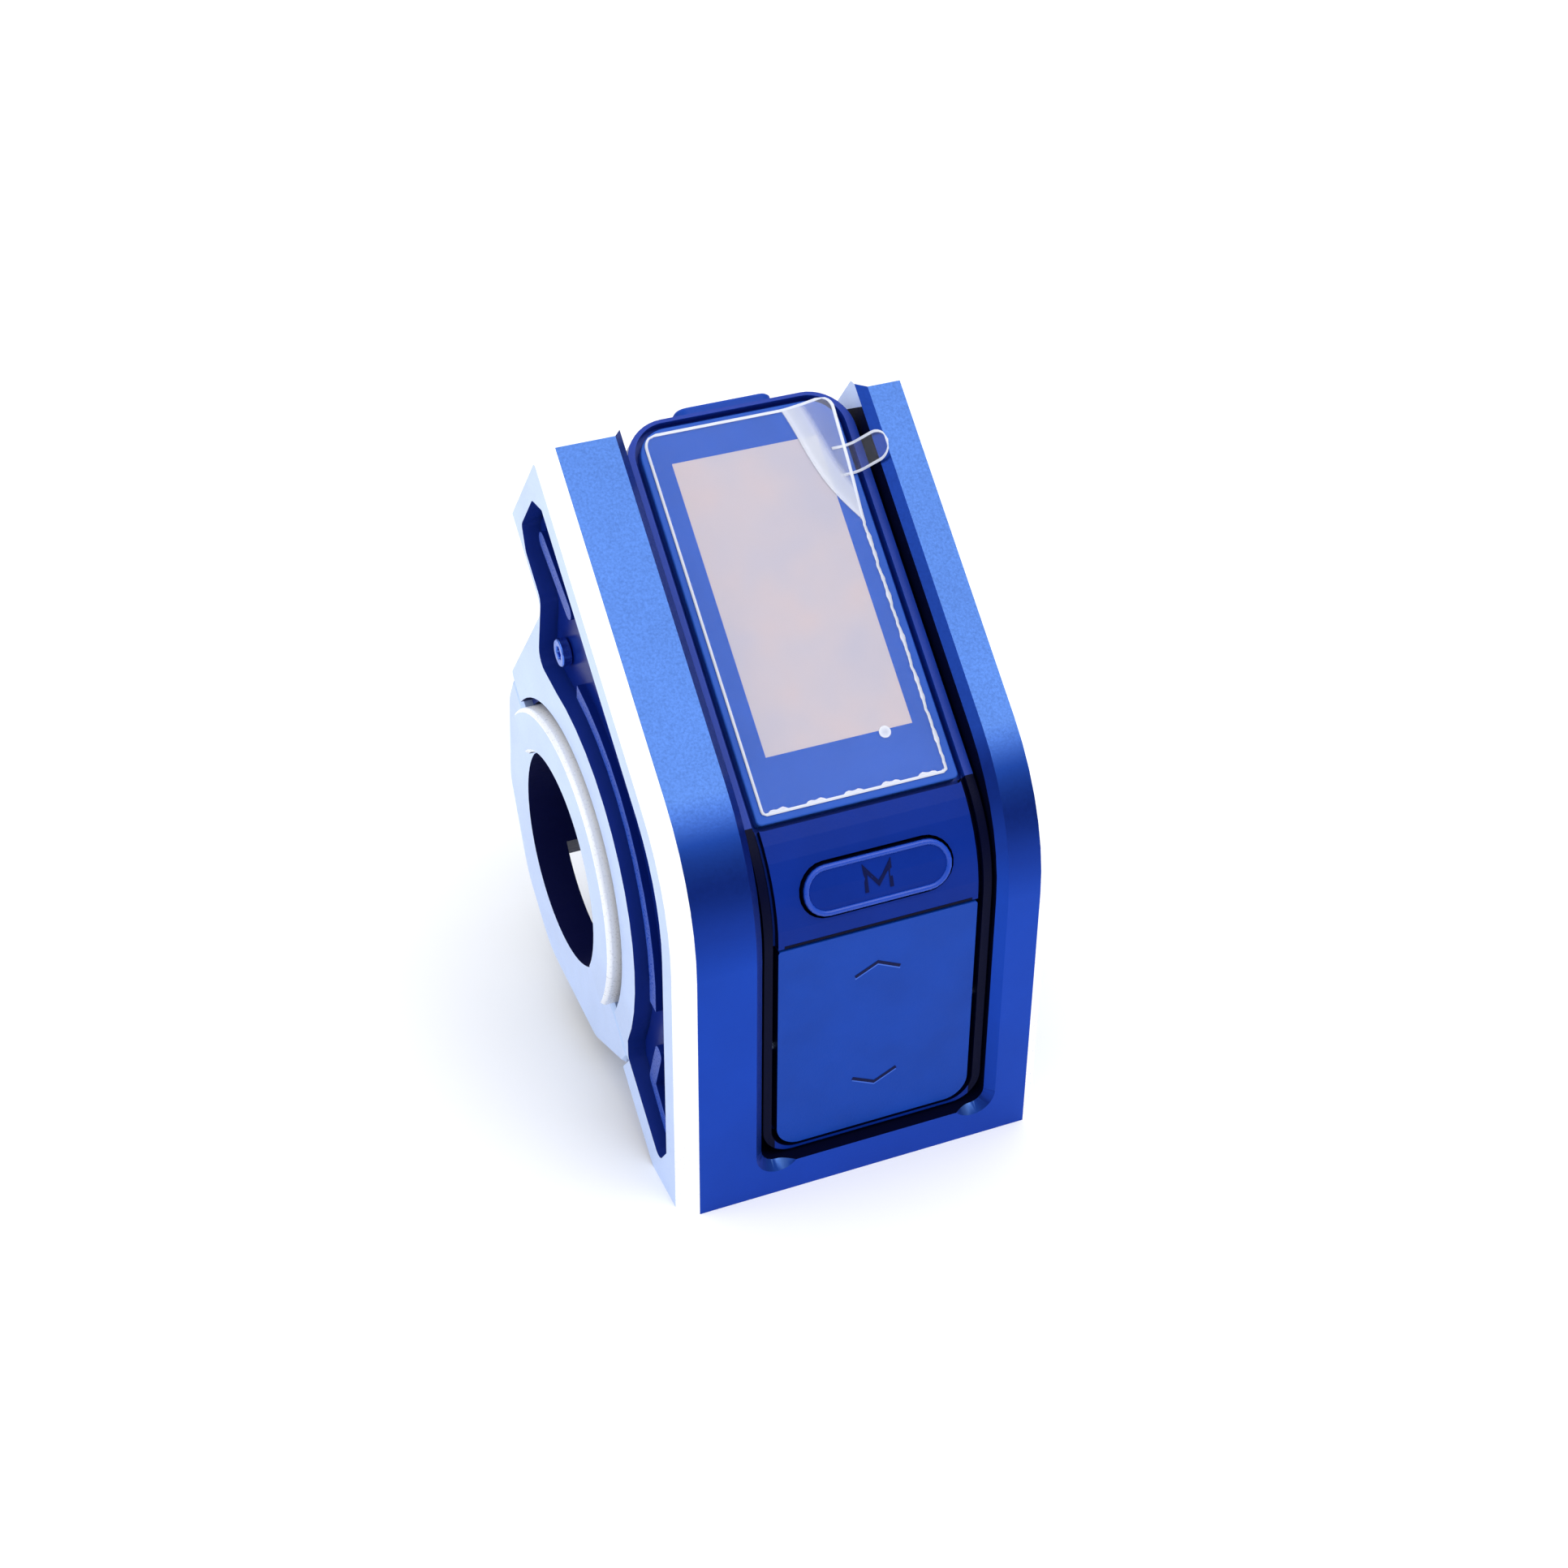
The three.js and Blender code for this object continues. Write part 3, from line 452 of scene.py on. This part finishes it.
def housing_paint(centre, normal):
    """Painted light and shade: the channel and the seat are dark with painted shade, and the cheeks, the
    bevels and the top end pale with painted light.
    """
    side = abs(centre.x)
    radius = math.hypot(centre.y, centre.z)
    inward = -(centre.y * normal.y + centre.z * normal.z) / max(radius, 1)
    # Faces of the seat that face the bar: painted shade.
    if radius < SEAT_REACH and inward > 0.7:
        return BORE
    rear = normal.y > 0.3 or (normal.z > 0.5 and centre.z > -20)
    # In the channel: the walls painted dark as shade, and pale as light above the sloped plane at
    # WALL_TOP.
    if in_slot(centre) and radius > 12 and not rear:
        return CHEEK if (centre - WALL_TOP).dot(WALL_SLOPE) > 0 else SLOT
    # Flat faces square to the bar: pale at the cheek with painted light, blue inside the pocket.
    if abs(normal.x) > 0.99:
        return CHEEK if side > HALF_WIDTH - 0.1 else POCKET
    # Bevels and the sloped faces of the top end: white, a painted highlight.
    if (side > BEVEL_SIDE and abs(normal.x) > 0.3) or (centre.z > TOP_FACES_Z and 0.3 < normal.z < 0.95):
        return BEVEL
    in_wall = HALF_WIDTH - POCKET_DEEP < side < HALF_WIDTH - POCKET_SHALLOW
    if in_wall and depth_of(centre) > POCKET_START and centre.y < POCKET_REAR_Y:
        return POCKET
    # The top end's flat faces are pale with painted light.
    return CHEEK if normal.z > 0.95 and centre.z > TOP_FACES_Z else RAIL


# The cut parts the channel's walls where their painted shade meets the painted light above.
refined("housing", "anodised_blue", 0.16, "rail", "cheek", "bevel", "slot", "pocket", "bore",
        rule=housing_paint, cuts=((place(*WALL_TOP), place(*WALL_SLOPE).normalized()),))


def cap_paint(centre, normal):
    """Dark inside the bore and the opening as painted shade, and pale on the flat sides as painted
    light.
    """
    wall, front, low_z, high_z = CAP_OPENING
    inside = math.hypot(centre.y, centre.z) < BAR_RADIUS + 0.4 and abs(normal.x) < 0.5
    opening = abs(centre.x) < HALF_WIDTH - wall and centre.y > front and low_z < centre.z < high_z
    if inside or opening:
        return 1
    return 2 if abs(normal.x) > 0.9 else 0


def saddle_paint(centre, normal):
    """Dark inside the bore as painted shade, and pale on the flat sides as painted light."""
    if math.hypot(centre.y, centre.z) < BAR_RADIUS + 0.1 and abs(normal.x) < 0.3:
        return 1
    return 2 if abs(normal.x) > 0.9 else 0


def liner_paint(centre, normal):
    """The plate is dark with painted shade, and the tops of the ribs that stand on it are paler with
    painted light.
    """
    return 1 if abs(normal.x) > 0.9 and abs(centre.x) > RIB_TOP else 0


refined("clamp_cap", "anodised_pale", 0.2, "clamp", "bore", "cheek", rule=cap_paint)
refined("clamp_saddle", "anodised_pale", 0.12, "saddle", "bore", "cheek", rule=saddle_paint)
for side in ("left", "right"):
    refined("side_liner_" + side, "liner_gloss", 0.3, "liner", "lit_liner_rib", rule=liner_paint)
    refined("liner_screw_" + side, "screw_blue", 0.12, "blue_screw")
for count, kind in ((4, "clamp"), (4, "case"), (2, "module")):
    for i in range(1, count + 1):
        refined(f"{kind}_screw_{i}", "screw_steel", 0.12, "steel")


# ------------------------------------------------------------------ module
def case_paint(centre, normal):
    """Dark round the keys and low on the case, as painted shade, and like the mode key's panel, with its
    painted shade, where the case shows below it.
    """
    belt = abs(centre.x - MODULE_X) < BELT_HALF and abs(normal.x) < 0.3
    # The case's face below the window takes the darker key plastic, painted shade of the bend.
    if belt and facing_front(normal) > 0.88 and centre.z < LENS_BOTTOM and depth_of(centre) < 6:
        return 2
    # Low and deep faces of the case: near black, painted shade.
    return 1 if centre.z < LENS_BOTTOM or centre.y > FRONT_Y + 6 else 0


def key_paint(centre, normal):
    """A key is blue on its face and dark down its sides, as painted shade."""
    return 1 if facing_front(normal) < 0.6 else 0


def window_paint(centre, normal):
    """The picture area, seen through the window's front face."""
    across = abs(centre.x - MODULE_X) < SCREEN_HALF_WIDTH
    along = abs(centre.z - SCREEN_Z) < SCREEN_HALF_HEIGHT
    return 1 if across and along and normal.y < -0.9 else 0


refined("module_case", "case_plastic", 0.14, "case", "case_low", "panel_key", rule=case_paint, cuts=(
    (place(MODULE_X - BELT_HALF, 0, 0), ALONG_BAR),
    (place(MODULE_X + BELT_HALF, 0, 0), ALONG_BAR),
    (place(0, 0, LENS_BOTTOM), UP_SCREEN),
))
refined("module_cover", "cover_plastic", 0.12, "cover")
refined("rocker_pin", "screw_steel", 0.06, "steel")
refined("rocker_key", "key_plastic", 0.22, "key", "case_low", rule=key_paint)
refined("power_button", "key_plastic", 0.2, "key")
refined("m_button", "key_plastic", 0.15, "panel_key", "case_low", rule=key_paint)
for node, slot, material in (
    ("case_gasket", "seal_rubber", "rubber"),
    ("key_membrane", "seal_rubber", "rubber"),
    ("main_circuit_board", "circuit_board", "board"),
    ("key_circuit", "circuit_board", "board"),
    ("oled_panel", "display_panel", "panel"),
    ("m_switch", "switch_plastic", "switch"),
    ("up_switch", "switch_plastic", "switch"),
    ("down_switch", "switch_plastic", "switch"),
    ("power_switch", "switch_plastic", "switch"),
):
    refined(node, slot, 0.05, material)
refined("display_window", "window_glass", 0.12, "window", "picture", rule=window_paint, cuts=(
    (place(MODULE_X - SCREEN_HALF_WIDTH, 0, 0), ALONG_BAR),
    (place(MODULE_X + SCREEN_HALF_WIDTH, 0, 0), ALONG_BAR),
    (place(0, 0, SCREEN_Z - SCREEN_HALF_HEIGHT), UP_SCREEN),
    (place(0, 0, SCREEN_Z + SCREEN_HALF_HEIGHT), UP_SCREEN),
))


# ------------------------------------------------------------------ film
def film_piece(name, rows):
    """A thin film from rows of (point, rim, air, peel), joined into one sheet."""
    mesh = bpy.data.meshes.new(name)
    bm = bmesh.new()
    layers = [bm.verts.layers.float.new(field) for field in ("rim", "air", "peel")]
    grid = []
    for row in rows:
        line = []
        for point, *values in row:
            vert = bm.verts.new(point)
            for layer, value in zip(layers, values):
                vert[layer] = value
            line.append(vert)
        grid.append(line)
    for first, second in zip(grid, grid[1:]):
        for i in range(len(first) - 1):
            bm.faces.new((first[i], first[i + 1], second[i + 1], second[i]))
    bmesh.ops.remove_doubles(bm, verts=bm.verts, dist=1e-6)
    bm.to_mesh(mesh)
    bm.free()
    for polygon in mesh.polygons:
        polygon.use_smooth = True
    piece = new_piece(name, mesh, "unit", "film")
    thickness = piece.modifiers.new("thickness", "SOLIDIFY")
    thickness.thickness = 0.05 * MM
    thickness.offset = 1
    return piece


def edge_wave(z):
    """How far the loose right edge of the film wanders sideways."""
    return 0.05 * math.sin(z * 1.3) + 0.04 * math.sin(z * 3.1 + 1) + 0.025 * math.sin(z * 7.3)


def peel_fold(x, z):
    """How far a point lies past the curved fold of the lifted corner."""
    fold_x, fold_z = 6.1, 30.3
    run, fall, length = 4.2, 11.8, 12.5
    down = min(1.0, max(0.0, (fold_z - z) / fall))
    bow = 0.7 * math.sin(math.pi * down**1.4)
    return ((x - fold_x) * fall + (z - fold_z) * run) / length + 0.2 + bow


def film():
    """The film on the window, lifted at its upper right corner, with air along two edges."""
    left_margin, right_margin, bottom_margin, top_margin = 0.65, 0.85, 0.7, 0.45
    bottom_corner, top_corner = 0.5, 1.4
    low, high = MODULE_X - LENS_HALF + left_margin, MODULE_X + LENS_HALF - right_margin
    bottom, top = LENS_BOTTOM + bottom_margin, LENS_TOP - top_margin
    wavy_top, air_top = 18, 19
    bubble_x, bubble_z, bubble_radius = 5.7, -2.2, 0.62
    columns, count = 60, 150
    rows = []
    for j in range(count + 1):
        z = bottom + (top - bottom) * j / count
        wave = edge_wave(z)
        left, right = low, high + (wave if z < wavy_top else 0)
        for edge, corner in ((z - bottom, bottom_corner), (top - z, top_corner)):
            if edge < corner:
                cut = corner - math.sqrt(corner**2 - (corner - edge) ** 2)
                left, right = max(left, low + cut), min(right, high - cut)
        row = []
        for i in range(columns + 1):
            x = left + (right - left) * i / columns
            fold = peel_fold(x, z)
            lift = 0.25 * max(0.0, fold) ** 1.4
            rim = min(x - left, right - x, z - bottom, top - z)
            beside = 0.3 + 2.2 * wave - (right - x) if z < air_top else -1
            below = 0.34 + 0.2 * math.sin(x * 1.7) + 0.1 * math.sin(x * 5) - (z - bottom)
            bubble = bubble_radius - math.hypot(x - bubble_x, z - bubble_z)
            point = place(x, MODULE_Y - FILM_GAP - lift, z)
            row.append((point, rim, max(beside, below, bubble), fold / PEEL_REACH))
        rows.append(row)
    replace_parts(film_piece("protective_film_sheet", rows), "protective_film")


def film_tab():
    """The pull tab: a round-ended strip that runs off the film and curls up past the rail."""
    middle, half = 24.4, 1.55
    start, reach = 9.6, 5.9
    flat, bending, steepest = 0.8, 0.55, 0.95
    columns, count = 24, 12
    rows = []
    for i in range(columns + 1):
        run = reach * i / columns
        end = run - (reach - half)
        width = half if end <= 0 else math.sqrt(max(0.0, half**2 - end**2))
        angle = min(steepest, bending * max(0.0, run - flat))
        straight = max(0.0, run - flat - angle / bending)
        x = start + min(run, flat) + math.sin(angle) / bending + straight * math.cos(angle)
        rise = 0.12 + (1 - math.cos(angle)) / bending + straight * math.sin(angle)
        row = []
        for j in range(count + 1):
            z = middle + width * (2 * j / count - 1)
            rim = min(width - abs(z - middle), reach - run)
            row.append((place(x, MODULE_Y - rise, z), rim, -1, 1))
        rows.append(row)
    film_piece("protective_film_tab", rows)


film()
film_tab()


# ------------------------------------------------------------------ marks on the keys
ROOT = -0.05  # a stroke starts this far below its surface
MITRE = 0.3  # the least cosine used where a stroke turns
# Width and height of each kind of stroke.
CHEVRON_STROKE, EDGE_STROKE = (0.34, 0.03), (0.16, 0.025)
SEAM_STROKE, LETTER_STROKE = (0.3, 0.012), (0.36, 0.05)
EDGE_OFFSET = 0.26  # from a chevron to its lit edge


def strokes(name, body, points, width, height, place_point, *materials):
    """A raised line of constant width through points (a, b), laid on a surface."""
    mesh = bpy.data.meshes.new(name)
    bm = bmesh.new()
    rings = []
    for i, (a, b) in enumerate(points):
        before = Vector(points[max(i - 1, 0)])
        after = Vector(points[min(i + 1, len(points) - 1)])
        here = Vector((a, b))
        arrive = (here - before).normalized() if i else (after - here).normalized()
        leave = (after - here).normalized() if i < len(points) - 1 else arrive
        bisector = Vector((-arrive.y - leave.y, arrive.x + leave.x)).normalized()
        reach = width / 2 / max(MITRE, bisector.dot(Vector((-arrive.y, arrive.x))))
        corners = [(here + bisector * reach, ROOT), (here + bisector * reach, height),
                   (here - bisector * reach, height), (here - bisector * reach, ROOT)]
        rings.append([bm.verts.new(place_point(p.x, p.y, h)) for p, h in corners])
    for first, second in zip(rings, rings[1:]):
        for k in range(4):
            bm.faces.new((first[k], first[(k + 1) % 4], second[(k + 1) % 4], second[k]))
    bm.faces.new(rings[0][::-1])
    bm.faces.new(rings[-1])
    bmesh.ops.recalc_face_normals(bm, faces=bm.faces)
    bm.to_mesh(mesh)
    bm.free()
    return new_piece(name, mesh, body, *materials)


def on_rocker(x, s, height):
    """A point over the rocker's face, s from the apex of the rails."""
    return lower_point(MODULE_X + x, s, MODULE_LOWER - height)


def chevrons():
    """Two chevrons, each a dark stroke of painted shade for its engraved groove, with a painted
    highlight along its lower edge.
    """
    half, rise = 2.3, 1.15
    for middle, way in CHEVRON_SPOTS:
        foot, tip = middle + way * rise / 2, middle - way * rise / 2
        points = [(-half, foot), (0, tip), (half, foot)]
        name = "up" if way > 0 else "down"
        mark = strokes(f"chevron_{name}", "rocker", points, *CHEVRON_STROKE, on_rocker, "mark")
        lit = [(x, s + EDGE_OFFSET) for x, s in points]
        edge = strokes(f"chevron_{name}_edge", "rocker", lit, *EDGE_STROKE, on_rocker, "edge")


def rocker_seam():
    """The dark line where the case meets the top edge of the rocker."""
    half, seam = 9.5, 9.0
    ends = [(-half, seam), (half, seam)]
    line = strokes("rocker_seam", "unit", ends, *SEAM_STROKE, on_rocker, "case_low")


chevrons()
rocker_seam()


def on_key(x, up, height):
    """A point on the bend of the module, up along the surface from the mode key's centre."""
    angle = KEY_ANGLE - up / MODULE_RADIUS
    radius = MODULE_RADIUS + height
    return place(MODULE_X + x, BEND_Y - radius * math.cos(angle), BEND_Z - radius * math.sin(angle))


def mode_mark():
    """The letter on the mode key."""
    half, height = 1.25, 1.1
    points = [(-half, -height), (-half, height), (0, -height * 0.45), (half, height), (half, -height)]

    def lifted(x, up, rise):
        return on_key(x, up, KEY_RISE + rise)

    mark = strokes("mode_letter", "mode_key", points, *LETTER_STROKE, lifted, "mark")


def stadium(length, height, steps=12):
    """A round-ended outline."""
    reach = (length - height) / 2
    points = []
    for side, start in ((1, -90), (-1, 90)):
        for i in range(steps + 1):
            angle = math.radians(start + 180 * i / steps)
            points.append((side * reach + math.cos(angle) * height / 2, math.sin(angle) * height / 2))
    return points


def mode_ring():
    """The raised bead round the mode key, lighter than its panel as a painted highlight."""
    mesh = bpy.data.meshes.new("mode_ring")
    bm = bmesh.new()
    profile = [(0.0, 0.2), (0.06, 0.4), (0.2, 0.52), (0.36, 0.52), (0.52, 0.4), (0.6, 0.2)]
    rings = []
    for margin, height in profile:
        outline = stadium(KEY_LENGTH - 2 * margin, KEY_HEIGHT - 2 * margin)
        rings.append([bm.verts.new(on_key(x, up, height)) for x, up in outline])
    count = len(rings[0])
    for outer, inner in zip(rings, rings[1:]):
        for i in range(count):
            j = (i + 1) % count
            bm.faces.new((outer[i], outer[j], inner[j], inner[i]))
    for i in range(count):
        j = (i + 1) % count
        bm.faces.new((rings[-1][i], rings[-1][j], rings[0][j], rings[0][i]))
    bmesh.ops.recalc_face_normals(bm, faces=bm.faces)
    bm.to_mesh(mesh)
    bm.free()
    for polygon in mesh.polygons:
        polygon.use_smooth = True
    piece = new_piece("mode_ring", mesh, "mode_key", "bead")


mode_mark()
mode_ring()


# ------------------------------------------------------------------ studio
LIGHT_AIM = Vector((0, -0.008, 0.012))
# Brightness of the surroundings below and above, as (height, colour).
SKY = ((0.3, (0.42, 0.43, 0.45, 1)), (0.66, (1.25, 1.25, 1.25, 1)))
# Right and back directions of the camera in the row frame, and its place in millimetres.
CAMERA_RIGHT = Vector((0.9208, -0.3898, 0.0085))
CAMERA_BACK = Vector((-0.3193, -0.7414, 0.5903))
CAMERA_PLACE = Vector((-86.4, -211.4, 171.0))
CAMERA_LENS, CAMERA_SENSOR = 64.3, 36


def studio():
    """A white floor that the lowest part of the unit stands on."""
    floor_z = CAD_BOX[0].z
    mesh = bpy.data.meshes.new("floor")
    size = 4.0
    corners = [(-size, -size), (size, -size), (size, size), (-size, size)]
    mesh.from_pydata([(x, y, floor_z) for x, y in corners], [], [(0, 1, 2, 3)])
    floor = bpy.data.objects.new("floor", mesh)
    n = Nodes("floor")
    n.set(Base_Color=(0.93, 0.94, 0.96, 1), Roughness=0.9, Specular_IOR_Level=0.1)
    mesh.materials.append(n.material)
    bpy.context.scene.collection.objects.link(floor)


def softbox(name, position, size, power):
    data = bpy.data.lights.new(name, "AREA")
    data.shape = "RECTANGLE"
    data.size, data.size_y = size
    data.energy = power
    light = bpy.data.objects.new(name, data)
    light.location = Vector(position)
    aim = LIGHT_AIM - light.location
    light.rotation_mode = "QUATERNION"
    light.rotation_quaternion = aim.to_track_quat("-Z", "Y")
    bpy.context.scene.collection.objects.link(light)


def world():
    data = bpy.data.worlds.new("studio")
    data.use_nodes = True
    tree = data.node_tree
    coords = tree.nodes.new("ShaderNodeTexCoord")
    split = tree.nodes.new("ShaderNodeSeparateXYZ")
    ramp = tree.nodes.new("ShaderNodeValToRGB")
    tree.links.new(coords.outputs["Generated"], split.inputs["Vector"])
    tree.links.new(split.outputs["Z"], ramp.inputs["Fac"])
    for element, (height, colour) in zip(ramp.color_ramp.elements, SKY):
        element.position, element.color = height, colour
    background = tree.nodes["Background"]
    tree.links.new(ramp.outputs["Color"], background.inputs["Color"])
    background.inputs["Strength"].default_value = 1.0
    bpy.context.scene.world = data


def camera():
    data = bpy.data.cameras.new("camera")
    data.sensor_width = CAMERA_SENSOR
    data.lens = CAMERA_LENS
    data.clip_start, data.clip_end = 0.01, 10
    cam = bpy.data.objects.new("camera", data)
    up = CAMERA_BACK.cross(CAMERA_RIGHT)
    turn = Matrix((CAMERA_RIGHT, up, CAMERA_BACK)).transposed().to_4x4()
    cam.matrix_world = Matrix.Translation(CAMERA_PLACE * MM) @ turn
    bpy.context.scene.collection.objects.link(cam)
    bpy.context.scene.camera = cam


studio()
world()
camera()
softbox("key_light", (0.25, -0.35, 0.75), (0.6, 0.5), 2.6)
softbox("left_light", (-0.7, 0.1, 0.35), (0.5, 0.6), 1.1)
bpy.context.scene.view_settings.view_transform = "Standard"
